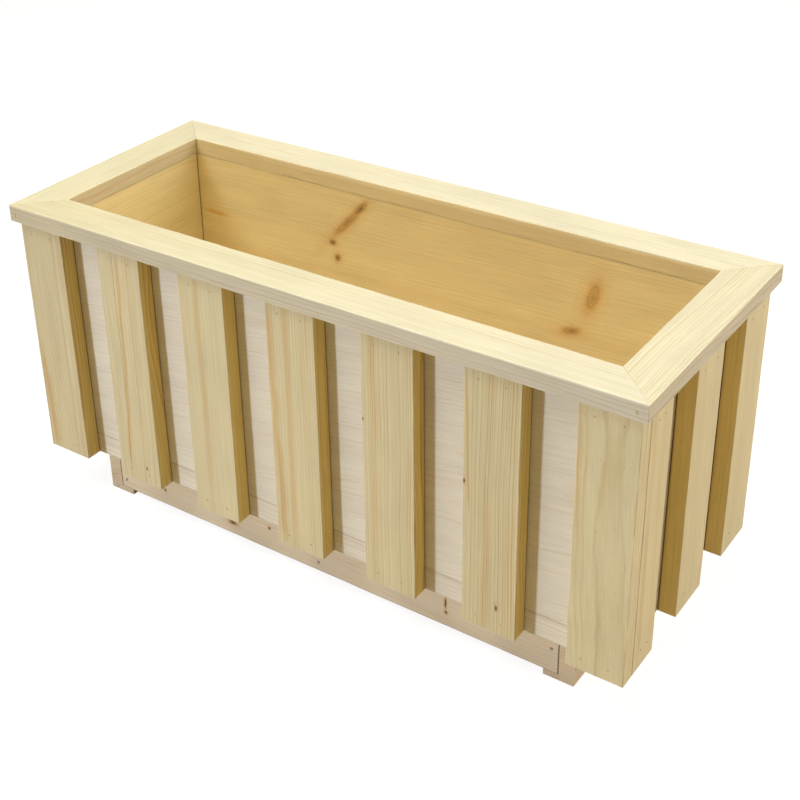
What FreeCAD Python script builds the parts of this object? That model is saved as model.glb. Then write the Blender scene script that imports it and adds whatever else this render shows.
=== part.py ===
import FreeCAD, Part
import os
from collections import namedtuple

# A long window box planter of planed pine. Boards with their grain along the box make the walls, upright slats with
# gaps between them are pinned to the outside, and a flat mitred rim covers the top edges of both. The box stands on a
# plinth that is set back under the walls, and the plinth stands on two foot cleats. The floor boards lie on the plinth,
# inside the walls, with gaps that let water out.
#
# Sizes are in millimetres. X runs along the box, from left to right. Y runs from front to back. Z is up.
# The origin is on the ground, under the middle of the box.

Vector = FreeCAD.Vector

# ---------------------------------------------------------------- driving sizes

# Rim: four battens laid flat
rim_length = 800.0  # outside, along the box
rim_depth = 322.0  # outside, front to back
rim_thickness = 20.5
rim_overhang = 7.5  # how far the rim stands out past the slats
rim_edge_round = 1.5

# Slats: upright battens, as tall as the walls behind them
slat_width = 63.0
slat_thickness = 20.5
slat_height = 310.0
slat_edge_round = 1.0
corner_slat_width = 46.5  # the slats that butt against the back of a corner slat
front_slat_count = 7
side_slat_count = 3

# Walls: a wide board over a narrow strip
wall_thickness = 20.0
wall_strip_height = 28.0

# Plinth: boards on edge under the walls and the floor
plinth_board_thickness = 18.0
plinth_height = 49.5
plinth_front_setback = 10.5  # from the front wall's outer face back to the plinth
plinth_end_setback = 46.0  # from an end wall's outer face in to the plinth
plinth_edge_round = 0.6

# Foot cleats: thin flat battens under the ends of the plinth
foot_thickness = 7.5
foot_edge_round = 0.5

# Floor boards, inside the walls
floor_thickness = 18.0
floor_board_count = 3
floor_gap = 8.0  # drainage gap between floor boards
floor_clearance = 0.5  # between the floor boards and the walls
floor_edge_round = 1.0

# Nails and pins: head diameter, head height, shank diameter, length under the surface of the wood
NailSize = namedtuple("NailSize", "head head_height shank length")
long_nail = NailSize(head=3.8, head_height=1.2, shank=2.4, length=50.0)
short_nail = NailSize(head=3.8, head_height=1.2, shank=2.4, length=30.0)
slat_pin = NailSize(head=2.0, head_height=1.5, shank=1.4, length=35.0)
nail_sink = 0.4  # how far a head lies under the surface
nail_clearance = 0.1  # all round a nail in its hole

rim_nail_end_inset = 10.0  # from the end of the rim
rim_nail_drop = 11.5  # under the top of the rim
wall_nail_inset = 50.0  # from the upper and lower edges of a wall board
slat_pin_edge_inset = 16.5  # from the long edges of a slat
front_pin_end_inset = 14.0  # from the ends of the front and back slats
side_pin_end_inset = 21.0  # from the ends of the side slats, clear of the pins round the corner
plinth_nail_low = 12.0  # above the lower edge of the plinth, at its left end and middle
plinth_nail_high = 30.5  # above the lower edge of the plinth, at its right end
plinth_side_nail_reach = 50.0  # from the middle of the plinth's sides
foot_nail_reach = 80.0  # from the middle of the foot cleats
floor_nail_inset = 18.0  # from the long edges of a floor board

# ---------------------------------------------------------------- levels and faces worked out from the sizes

# Heights
foot_top = foot_thickness
plinth_top = foot_top + plinth_height
wall_bottom = plinth_top
strip_top = wall_bottom + wall_strip_height
slat_top = wall_bottom + slat_height
rim_top = slat_top + rim_thickness
floor_top = plinth_top + floor_thickness

# Half lengths along the box, from the outside in
rim_end = rim_length / 2
slat_end = rim_end - rim_overhang
wall_end = slat_end - slat_thickness
inner_end = wall_end - wall_thickness
plinth_end = wall_end - plinth_end_setback
bearer_end = plinth_end - plinth_board_thickness
bearer_inner = bearer_end - plinth_board_thickness

# Half depths, from the outside in
rim_side = rim_depth / 2
slat_side = rim_side - rim_overhang
wall_side = slat_side - slat_thickness
inner_side = wall_side - wall_thickness
plinth_side = wall_side - plinth_front_setback
bearer_side = plinth_side - plinth_board_thickness


# ---------------------------------------------------------------- basic shapes


def block(x, y, z):
    """A square-edged board between the low and high values given for each axis."""
    corner = Vector(x[0], y[0], z[0])
    return Part.makeBox(x[1] - x[0], y[1] - y[0], z[1] - z[0], corner)


def eased_block(x, y, z, grain, radius):
    """A board whose four long edges, those along the grain, are rounded."""
    board = block(x, y, z)
    long_edges = []
    for edge in board.Edges:
        run = edge.Vertexes[1].Point - edge.Vertexes[0].Point
        if abs(run.dot(grain)) > run.Length / 2:
            long_edges.append(edge)
    return board.makeFillet(radius, long_edges)


def spaced(start, end, widths):
    """Low and high edges of slats of these widths, from start to end, with equal gaps between them."""
    gap = (end - start - sum(widths)) / (len(widths) - 1)
    spans = []
    low = start
    for width in widths:
        spans.append((low, low + width))
        low += width + gap
    return spans


def middle(span):
    return (span[0] + span[1]) / 2


def opposite(span):
    """The same span on the other side of the middle."""
    return (-span[1], -span[0])


along_x = Vector(1, 0, 0)
along_y = Vector(0, 1, 0)
along_z = Vector(0, 0, 1)

# ---------------------------------------------------------------- where the repeated pieces stand

front_slat_spans = spaced(-slat_end, slat_end, [slat_width] * front_slat_count)
back_widths = [corner_slat_width] + [slat_width] * (front_slat_count - 2) + [corner_slat_width]
back_slat_spans = spaced(-wall_end, wall_end, back_widths)
side_widths = [corner_slat_width] + [slat_width] * (side_slat_count - 1)
side_slat_spans = spaced(-wall_side, slat_side, side_widths)

slat_height_span = (wall_bottom, slat_top)
front_slat_depth = (-slat_side, -wall_side)
right_slat_depth = (wall_end, slat_end)

floor_side = inner_side - floor_clearance
floor_board_width = (2 * floor_side - (floor_board_count - 1) * floor_gap) / floor_board_count
floor_spans = spaced(-floor_side, floor_side, [floor_board_width] * floor_board_count)

right_bearer = (bearer_inner, bearer_end)
middle_bearer = (-plinth_board_thickness / 2, plinth_board_thickness / 2)
right_plinth_side = (bearer_end, plinth_end)

# ---------------------------------------------------------------- nails

Nail = namedtuple("Nail", "size point direction")


def nail_solid(nail):
    """Head and shank, driven in from the surface point along the direction."""
    size = nail.size
    head_start = nail.point + nail.direction * nail_sink
    head = Part.makeCylinder(size.head / 2, size.head_height, head_start, nail.direction)
    shank_start = nail.point + nail.direction * (nail_sink + size.head_height)
    shank_length = size.length - nail_sink - size.head_height
    shank = Part.makeCylinder(size.shank / 2, shank_length, shank_start, nail.direction)
    return head.fuse(shank)


def nail_hole(nail):
    """The room that a nail takes in the wood, open at the surface."""
    size = nail.size
    head_depth = nail_sink + size.head_height
    head = Part.makeCylinder(size.head / 2 + nail_clearance, head_depth, nail.point, nail.direction)
    shank_length = size.length + nail_clearance
    shank = Part.makeCylinder(size.shank / 2 + nail_clearance, shank_length, nail.point, nail.direction)
    return head.fuse(shank)


def rim_nails():
    """One nail at each end of the front and back battens, across the mitre."""
    nails = []
    for x in (-rim_end + rim_nail_end_inset, rim_end - rim_nail_end_inset):
        for y in (-rim_side, rim_side):
            inward = along_y * (1 if y < 0 else -1)
            nails.append(Nail(long_nail, Vector(x, y, rim_top - rim_nail_drop), inward))
    return nails


def wall_nails():
    """Through the front and back walls into the ends of the end walls."""
    heights = [
        middle((wall_bottom, strip_top)),
        strip_top + wall_nail_inset,
        slat_top - wall_nail_inset,
    ]
    end_wall = middle((inner_end, wall_end))
    nails = []
    for x in (-end_wall, end_wall):
        for y in (-wall_side, wall_side):
            inward = along_y * (1 if y < 0 else -1)
            for z in heights:
                nails.append(Nail(long_nail, Vector(x, y, z), inward))
    return nails


def slat_pins(spans, end_inset, place, inward):
    """Four pins for each slat, two near each end. place turns a distance along the wall and a height into a point."""
    pins = []
    for low, high in spans:
        for across in (low + slat_pin_edge_inset, high - slat_pin_edge_inset):
            for z in (wall_bottom + end_inset, slat_top - end_inset):
                pins.append(Nail(slat_pin, place(across, z), inward))
    return pins


def front_pin_place(across, z):
    return Vector(across, -slat_side, z)


def back_pin_place(across, z):
    return Vector(across, slat_side, z)


def left_pin_place(across, z):
    return Vector(-slat_end, across, z)


def right_pin_place(across, z):
    return Vector(slat_end, across, z)


def plinth_nails():
    """Through the front and back boards into the ends of the bearers, and through the sides into their ends."""
    low = foot_top + plinth_nail_low
    high = foot_top + plinth_nail_high
    bearers = [
        (middle(opposite(right_bearer)), low),
        (middle(middle_bearer), low),
        (middle(right_bearer), high),
    ]
    nails = []
    for y in (-plinth_side, plinth_side):
        inward = along_y * (1 if y < 0 else -1)
        for x, z in bearers:
            nails.append(Nail(long_nail, Vector(x, y, z), inward))
        board_middle = middle((bearer_side, plinth_side)) * (-1 if y < 0 else 1)
        for x in (-plinth_end, plinth_end):
            inward = along_x * (1 if x < 0 else -1)
            nails.append(Nail(long_nail, Vector(x, board_middle, middle((foot_top, plinth_top))), inward))
    return nails


def plinth_side_nails():
    """Through the side boards into the bearers that stand against them."""
    nails = []
    for x in (-plinth_end, plinth_end):
        inward = along_x * (1 if x < 0 else -1)
        for y in (-plinth_side_nail_reach, plinth_side_nail_reach):
            nails.append(Nail(short_nail, Vector(x, y, middle((foot_top, plinth_top))), inward))
    return nails


def foot_nails():
    """Up through the foot cleats into the side boards of the plinth."""
    nails = []
    for x in (middle(opposite(right_plinth_side)), middle(right_plinth_side)):
        for y in (-foot_nail_reach, 0, foot_nail_reach):
            nails.append(Nail(short_nail, Vector(x, y, 0), along_z))
    return nails


def floor_nails():
    """Down through the floor boards into the bearers."""
    nails = []
    for x in (middle(opposite(right_bearer)), middle(middle_bearer), middle(right_bearer)):
        for low, high in floor_spans:
            for y in (low + floor_nail_inset, high - floor_nail_inset):
                nails.append(Nail(short_nail, Vector(x, y, floor_top), along_z * -1))
    return nails


# ---------------------------------------------------------------- wooden pieces


def rim_batten(outline, x, y, grain):
    """A batten with rounded long edges, cut to its mitred outline."""
    batten = eased_block(x, y, (slat_top, rim_top), grain, rim_edge_round)
    corners = [Vector(px, py, slat_top) for px, py in outline + outline[:1]]
    mitred = Part.Face(Part.makePolygon(corners)).extrude(along_z * rim_thickness)
    return batten.common(mitred)


def rim_pieces():
    outer = [(-rim_end, -rim_side), (rim_end, -rim_side), (rim_end, rim_side), (-rim_end, rim_side)]
    inner = [(-inner_end, -inner_side), (inner_end, -inner_side), (inner_end, inner_side), (-inner_end, inner_side)]
    full_length = (-rim_end, rim_end)
    full_depth = (-rim_side, rim_side)
    sides = {
        "rim_front": (0, full_length, (-rim_side, -inner_side), along_x),
        "rim_right": (1, (inner_end, rim_end), full_depth, along_y),
        "rim_back": (2, full_length, (inner_side, rim_side), along_x),
        "rim_left": (3, (-rim_end, -inner_end), full_depth, along_y),
    }
    pieces = {}
    for name, (first, x, y, grain) in sides.items():
        second = (first + 1) % len(outer)
        outline = [outer[first], outer[second], inner[second], inner[first]]
        pieces[name] = rim_batten(outline, x, y, grain)
    return pieces


def wall_pieces():
    """The front and back walls run the whole length of the box, and the end walls stand between them."""
    long_span = (-wall_end, wall_end)
    short_span = (-inner_side, inner_side)
    places = {
        "front": (long_span, (-wall_side, -inner_side)),
        "back": (long_span, (inner_side, wall_side)),
        "left": ((-wall_end, -inner_end), short_span),
        "right": ((inner_end, wall_end), short_span),
    }
    pieces = {}
    for side, (x, y) in places.items():
        pieces[side + "_wall_board"] = block(x, y, (strip_top, slat_top))
        pieces[side + "_wall_strip"] = block(x, y, (wall_bottom, strip_top))
    return pieces


def slat_pieces():
    pieces = {}
    for number, span in enumerate(front_slat_spans, 1):
        slat = eased_block(span, front_slat_depth, slat_height_span, along_z, slat_edge_round)
        pieces["front_slat_%d" % number] = slat
    for number, span in enumerate(back_slat_spans, 1):
        slat = eased_block(span, opposite(front_slat_depth), slat_height_span, along_z, slat_edge_round)
        pieces["back_slat_%d" % number] = slat
    for number, span in enumerate(side_slat_spans, 1):
        left = eased_block(opposite(right_slat_depth), span, slat_height_span, along_z, slat_edge_round)
        pieces["left_slat_%d" % number] = left
        right = eased_block(right_slat_depth, span, slat_height_span, along_z, slat_edge_round)
        pieces["right_slat_%d" % number] = right
    return pieces


def plinth_pieces():
    """Front and back boards between the side boards, with bearers behind them that carry the floor."""
    height = (foot_top, plinth_top)
    front_depth = (-plinth_side, -bearer_side)
    between_sides = (-bearer_end, bearer_end)
    whole_depth = (-plinth_side, plinth_side)
    between_boards = (-bearer_side, bearer_side)
    return {
        "plinth_front": eased_block(between_sides, front_depth, height, along_x, plinth_edge_round),
        "plinth_back": eased_block(between_sides, opposite(front_depth), height, along_x, plinth_edge_round),
        "plinth_left": eased_block(opposite(right_plinth_side), whole_depth, height, along_y, plinth_edge_round),
        "plinth_right": eased_block(right_plinth_side, whole_depth, height, along_y, plinth_edge_round),
        "bearer_left": block(opposite(right_bearer), between_boards, height),
        "bearer_middle": block(middle_bearer, between_boards, height),
        "bearer_right": block(right_bearer, between_boards, height),
    }


def foot_pieces():
    """Each cleat is as wide as the side board and the bearer that it lies under."""
    whole_depth = (-plinth_side, plinth_side)
    right = (bearer_inner, plinth_end)
    height = (0, foot_top)
    return {
        "foot_left": eased_block(opposite(right), whole_depth, height, along_y, foot_edge_round),
        "foot_right": eased_block(right, whole_depth, height, along_y, foot_edge_round),
    }


def floor_pieces():
    length = (-inner_end + floor_clearance, inner_end - floor_clearance)
    pieces = {}
    for number, span in enumerate(floor_spans, 1):
        board = eased_block(length, span, (plinth_top, floor_top), along_x, floor_edge_round)
        pieces["floor_board_%d" % number] = board
    return pieces


def drilled(board, holes):
    """The board without the room that its nails take. A nail that only meets a face of it takes none."""
    inside = board.BoundBox
    inside.enlarge(-nail_clearance)
    crossing = [hole for hole in holes if hole.BoundBox.intersect(inside)]
    if not crossing:
        return board
    return board.cut(crossing).Solids[0]


# ---------------------------------------------------------------- the whole planter


def main():
    nail_groups = {
        "rim_nails": rim_nails(),
        "wall_nails": wall_nails(),
        "front_slat_pins": slat_pins(front_slat_spans, front_pin_end_inset, front_pin_place, along_y),
        "back_slat_pins": slat_pins(back_slat_spans, front_pin_end_inset, back_pin_place, along_y * -1),
        "left_slat_pins": slat_pins(side_slat_spans, side_pin_end_inset, left_pin_place, along_x),
        "right_slat_pins": slat_pins(side_slat_spans, side_pin_end_inset, right_pin_place, along_x * -1),
        "plinth_nails": plinth_nails(),
        "plinth_side_nails": plinth_side_nails(),
        "foot_nails": foot_nails(),
        "floor_nails": floor_nails(),
    }
    holes = [nail_hole(nail) for nails in nail_groups.values() for nail in nails]

    pieces = {}
    for make in (rim_pieces, wall_pieces, slat_pieces, plinth_pieces, foot_pieces, floor_pieces):
        for name, board in make().items():
            pieces[name] = drilled(board, holes)
    for name, nails in nail_groups.items():
        pieces[name] = Part.makeCompound([nail_solid(nail) for nail in nails])

    os.makedirs("parts", exist_ok=True)
    for name, shape in pieces.items():
        shape.exportStep("parts/%s.step" % name)


main()
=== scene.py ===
"""Window box planter of planed pine: the finish of every board, the nail heads, and a studio to look at it in."""

import math
import random
from collections import namedtuple

import bmesh
import bpy
from bpy.props import FloatProperty, FloatVectorProperty, PointerProperty
from bpy.types import Operator, Panel, PropertyGroup
from mathutils import Matrix, Vector, noise


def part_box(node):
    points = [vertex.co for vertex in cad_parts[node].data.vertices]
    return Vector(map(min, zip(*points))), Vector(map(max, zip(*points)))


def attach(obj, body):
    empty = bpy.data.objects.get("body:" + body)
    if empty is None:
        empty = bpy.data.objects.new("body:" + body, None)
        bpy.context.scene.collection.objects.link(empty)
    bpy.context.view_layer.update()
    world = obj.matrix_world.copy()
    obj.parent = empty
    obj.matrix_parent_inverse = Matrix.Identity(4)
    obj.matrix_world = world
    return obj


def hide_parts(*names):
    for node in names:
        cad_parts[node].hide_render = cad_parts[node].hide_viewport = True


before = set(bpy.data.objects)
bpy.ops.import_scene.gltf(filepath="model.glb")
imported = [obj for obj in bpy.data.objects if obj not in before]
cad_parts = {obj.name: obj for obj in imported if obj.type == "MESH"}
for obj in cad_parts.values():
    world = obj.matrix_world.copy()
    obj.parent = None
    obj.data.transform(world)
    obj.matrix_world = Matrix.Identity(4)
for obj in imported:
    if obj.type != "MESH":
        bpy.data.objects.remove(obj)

bl_info = {
    "name": "Window box planter",
    "version": (1, 0, 0),
    "blender": (4, 5, 0),
    "location": "3D View > Sidebar > Planter",
    "description": "Builds the boards, nails and studio of a slatted pine window box",
    "category": "Object",
}

MM = 0.001  # metres in a millimetre
AXES = {"X": 0, "Y": 1, "Z": 2}
BODY = "root"  # nothing on the planter moves
NAIL_CLEARANCE = 0.1 * MM  # all round a nail in its hole

# A board's wood. pith is the middle of the tree, in mm: first across the board from the middle of its show face, then
# behind that face. lean tilts the pith, in mm across per mm along. ring is the width of a year's growth in mm. lines
# is the strength of the grain and shade how light the board is. gold is 1 where the whole board gets the golden tint,
# which is painted warm light, and -1 where its sides get none of the painted shade of the other sides. knots is a
# tuple of Knot and band a Band. amber is how much of a yellower tint its low end and its high end get.
Wood = namedtuple(
    "Wood",
    "pith lean ring lines gold shade knots band amber",
    defaults=(0.0, 3.0, 1.0, 0.0, 1.0, (), None, (0.0, 0.0)),
)

# A knot: where it is along and across the board, in mm of the planter's own frame, its radius in mm, how many times
# longer than wide it is, and how far its long axis is turned from the grain, in degrees.
Knot = namedtuple("Knot", "along across radius stretch turn", defaults=(1.3, 0.0))

FAR_AWAY = Knot(-9000.0, -9000.0, 10.0)

# A band of resin-rich wood that runs along a board: how far its middle is from the board's middle at the low end and
# at the high end, its width, and between which heights it shows, all in mm, and how strong it is.
Band = namedtuple("Band", "low high width start end strength", defaults=(-9000.0, 9000.0, 1.0))

NO_BAND = Band(-9000.0, -9000.0, 1.0)


# ---------------------------------------------------------------- colours and settings


def linear(hex_colour):
    """The linear colour of an sRGB hex value."""
    shares = [int(hex_colour[i : i + 2], 16) / 255 for i in (1, 3, 5)]
    return [s / 12.92 if s <= 0.04045 else ((s + 0.055) / 1.055) ** 2.4 for s in shares]


def colour(name, description, hex_colour):
    """A colour setting, shown in the panel."""
    return FloatVectorProperty(
        name=name, description=description, default=linear(hex_colour), size=3, subtype="COLOR", min=0, max=1
    )


def length(name, description, millimetres):
    """A length setting, held in metres and given here in millimetres."""
    return FloatProperty(
        name=name, description=description, default=millimetres * MM, min=0, subtype="DISTANCE", unit="LENGTH"
    )


class PLANTER_PG_grain(PropertyGroup):
    """What all the pine has in common."""

    ring_width: length("Ring width", "Usual width of one year's growth", 3.0)
    wander_length: length("Wander length", "Length over which the grain wanders along a board", 260)
    wander_width: length("Wander width", "Width over which the grain wanders", 60)
    wander: length("Wander", "How far the grain wanders", 9)
    fibre_length: length("Fibre length", "Length of a streak of fibres", 50)
    fibre_width: length("Fibre width", "Width of a streak of fibres", 1.2)
    dash_length: length("Resin dash length", "Length of a cut resin canal", 8)
    dash_width: length("Resin dash width", "Width of a cut resin canal", 0.8)
    relief: length("Relief", "Depth of the grain left by the planer", 0.12)
    resin: colour("Resin", "Tint of bands of resin-rich wood", "#EFC98F")
    # Amber is a yellower tint laid along a board, stronger towards one end than the other.
    amber: colour("Amber", "Tint of wood that the light has yellowed", "#EFEBDA")
    # Golden wood is painted warm light: the tint of the rim's inner sides and of the floor boards, standing in for the
    # warm light inside the box.
    golden: colour("Golden wood", "Wood that is golden all through", "#EEDEB4")
    knot: colour("Knot", "Heart of a knot", "#4E3018")
    halo: colour("Knot halo", "Tint of the wood around a knot", "#E8C48C")
    # Dust darkens the joints, and stands in part for painted shade in the creases and corners between boards.
    dust: colour("Dust", "Tint of the dust in the joints", "#5A4022")


class PLANTER_PG_rim(PropertyGroup):
    """The rim's finish."""

    pale: colour("Pale wood", "Early wood on top of the rim", "#DEDAC2")
    line: colour("Grain", "Tint of the late wood", "#DEC79C")
    # The rim's sides are painted darker than its top: painted shade, where the top catches the most light.
    side: colour("Sides", "Early wood on the sides of the rim", "#BDB5A5")
    ease: length("Edge easing", "Radius sanded on the long edges", 1.0)


class PLANTER_PG_slats(PropertyGroup):
    """The slats' finish."""

    pale: colour("Pale wood", "Early wood on the face of the slats", "#C3B692")
    line: colour("Grain", "Tint of the late wood", "#D4B98F")
    # The slats' golden sides are painted shade: the shade in the narrow gaps between the slats.
    side: colour("Sides", "Early wood on the sides of the slats", "#D8C27E")
    ease: length("Edge easing", "Radius sanded on the long edges", 1.0)


class PLANTER_PG_walls(PropertyGroup):
    """The wall boards' finish."""

    pale: colour("Pale wood", "Early wood on the outer face of the walls", "#CDC5B7")
    line: colour("Grain", "Tint of the late wood", "#DCC0A2")
    # The inner face is painted paler and golden: painted warm light, standing in for the light bounced inside the box.
    side: colour("Inner face", "Early wood on the inner face of the walls", "#F8E8B6")
    ease: length("Edge easing", "Radius sanded on the long edges", 0.35)


class PLANTER_PG_base(PropertyGroup):
    """The plinth's, feet's and floor's finish."""

    pale: colour("Pale wood", "Early wood of the plinth", "#C8B8A0")
    line: colour("Grain", "Tint of the late wood", "#CDAA84")
    side: colour("Sides", "Early wood on the sides of the plinth boards", "#CBB89C")
    ease: length("Edge easing", "Radius sanded on the long edges", 0.6)


class PLANTER_PG_stage(PropertyGroup):
    """Studio and camera."""

    key: FloatProperty(
        name="Key light", description="Power of the low light at the front left", default=652.0, unit="POWER"
    )
    key_colour: colour("Key colour", "Cool daylight", "#DEECFF")
    key_turn: FloatProperty(
        name="Key turn", description="Left of the planter's front", default=math.radians(31), subtype="ANGLE"
    )
    key_distance: FloatProperty(name="Key distance", description="From the planter", default=10.0, unit="LENGTH")
    key_height: FloatProperty(name="Key height", description="Above the floor", default=0.33, unit="LENGTH")
    top: FloatProperty(name="Top light", description="Power of the soft light above", default=47.0, unit="POWER")
    high: FloatProperty(
        name="High light", description="Power of the soft light high on the front left", default=32.0, unit="POWER"
    )
    top_colour: colour("Top colour", "Neutral daylight", "#F7FAFC")
    fill: FloatProperty(
        name="Fill light", description="Power of the light on the right end", default=44.0, unit="POWER"
    )
    ambient: FloatProperty(name="Ambient", description="Strength of the light from all round", default=0.31)
    ambient_colour: colour("Ambient colour", "Light from all round, warm as from a timber room", "#FFD878")
    floor: colour("Floor", "Matt board under the planter", "#CDBF98")
    lens: FloatProperty(name="Lens", description="Focal length on a 36 mm sensor, in mm", default=64.1, min=1)
    turn: FloatProperty(
        name="Camera turn", description="Right of the front", default=math.radians(36.07), subtype="ANGLE"
    )
    drop: FloatProperty(
        name="Camera drop", description="Below the horizon", default=math.radians(27.06), subtype="ANGLE"
    )
    roll: FloatProperty(name="Camera roll", description="About its axis", default=math.radians(-1.73), subtype="ANGLE")
    place: FloatVectorProperty(
        name="Camera place",
        description="From the planter's foot",
        default=(0.8076, -1.15, 1.048),
        subtype="TRANSLATION",
    )
    shift: FloatVectorProperty(
        name="Camera shift", description="Share of the frame's width", default=(0.06, -0.15), size=2
    )


# ---------------------------------------------------------------- nodes and materials


def add(tree, kind, inputs=(), output=0, stops=(), **settings):
    """Adds a node with its settings, and sets or links its inputs. Gives one output, or the node if output is None."""
    node = tree.nodes.new("ShaderNode" + kind)
    for key, value in settings.items():
        setattr(node, key, value)
    for key, value in dict(inputs).items():
        if isinstance(value, bpy.types.NodeSocket):
            tree.links.new(value, node.inputs[key])
        else:
            node.inputs[key].default_value = value
    if stops:
        ramp = node.color_ramp.elements
        while len(ramp) < len(stops):
            ramp.new(1.0)
        for element, (place, level) in zip(ramp, stops):
            element.position = place
            element.color = (level, level, level, 1.0)
    return node if output is None else node.outputs[output]


def calc(tree, operation, *values, clamp=False):
    """One step of arithmetic on numbers."""
    return add(tree, "Math", enumerate(values), operation=operation, use_clamp=clamp)


def calc_vector(tree, operation, *values, output=0):
    """One step of arithmetic on vectors."""
    return add(tree, "VectorMath", enumerate(values), output, operation=operation)


def remap(tree, value, limits=(0.0, 1.0), to=(0.0, 1.0), **settings):
    """Turns the numbers between two limits into the numbers between two others."""
    inputs = {"Value": value, "From Min": limits[0], "From Max": limits[1], "To Min": to[0], "To Max": to[1]}
    return add(tree, "MapRange", inputs, **settings)


def mix(tree, share, base, tint, blend="MIX"):
    """Lays a share of a tint over a base colour."""
    return add(tree, "Mix", {0: share, 6: base, 7: (*tint, 1)}, output=2, data_type="RGBA", blend_type=blend)


def split(tree, vector):
    """The three numbers of a vector, by axis."""
    return add(tree, "SeparateXYZ", {0: vector}, output=None).outputs


def mark(tree, name):
    """What mark_wood has written on a board under this name."""
    return add(tree, "Attribute", attribute_name=name, output="Vector")


def stretched_noise(tree, log, along, across, detail):
    """Noise that is drawn out along the grain, in patches about as long and as wide as these metres."""
    place = calc_vector(tree, "MULTIPLY", log, (1 / along, 1 / across, 1 / across))
    return add(tree, "TexNoise", {"Vector": place, "Scale": 1.0, "Detail": detail, "Roughness": 0.6})


def yearly_noise(tree, rings, pace):
    """Noise that changes from year to year. pace is how much of its pattern one year takes up."""
    place = calc(tree, "MULTIPLY", rings, pace)
    return add(tree, "TexNoise", {"W": place, "Scale": 1.0, "Detail": 1.0}, noise_dimensions="1D")


# How dark the wood is through one year's ring, as pairs of place and level, from the pale spring to the sharp edge
YEAR = ((0.0, 0.0), (0.35, 0.05), (0.7, 0.35), (0.9, 1.0), (1.0, 0.0))
RING_UNEVENNESS = 2.2  # in years
RING_RELIEF = 0.5  # how proud late wood stands, beside the fibres

KNOT_REACH = 4.0  # how far the next two ramps run from a knot's middle, in its radii
KNOT_HEART = ((0.0, 0.95), (0.08, 0.75), (0.16, 0.45), (0.22, 0.38), (0.3, 0.12), (0.42, 0.0))
KNOT_HALO = ((0.0, 0.7), (0.18, 0.7), (0.24, 0.95), (0.3, 0.6), (0.55, 0.2), (1.0, 0.0))
KNOT_SIZES = (1.3 * MM, 4 * MM)  # radius of a small knot and of a large one
KNOT_DARKNESS = (3.0, 0.4)  # of a small knot and of a large one
KNOT_PUSH = 1.1  # how far a knot pushes the rings aside, in its radii
KNOT_PUSH_REACH = (0.3, 4.5)  # where that begins to fade and where it ends, in radii
KNOT_ROUGHNESS = 0.5  # how uneven a knot's outline is, in radii

RUBBED_AND_HIGHLIT_WOOD = (1, 0.92, 0.70)  # wood on an edge: partly rubbed, partly a painted highlight
RUBBED_AND_HIGHLIT_DEPTH = 2.2 * MM  # how far from an edge the paler wood reaches
SEAM_DUST_AND_SHADE_DEPTHS = (0.7 * MM, 2.2 * MM)  # how far from a joint the dark tint, partly dust and partly painted shade, begins to thin out and where it ends
SAWN_DEPTHS = (0.1 * MM, 0.5 * MM)  # how far a sawn end's darker tone reaches


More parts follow.
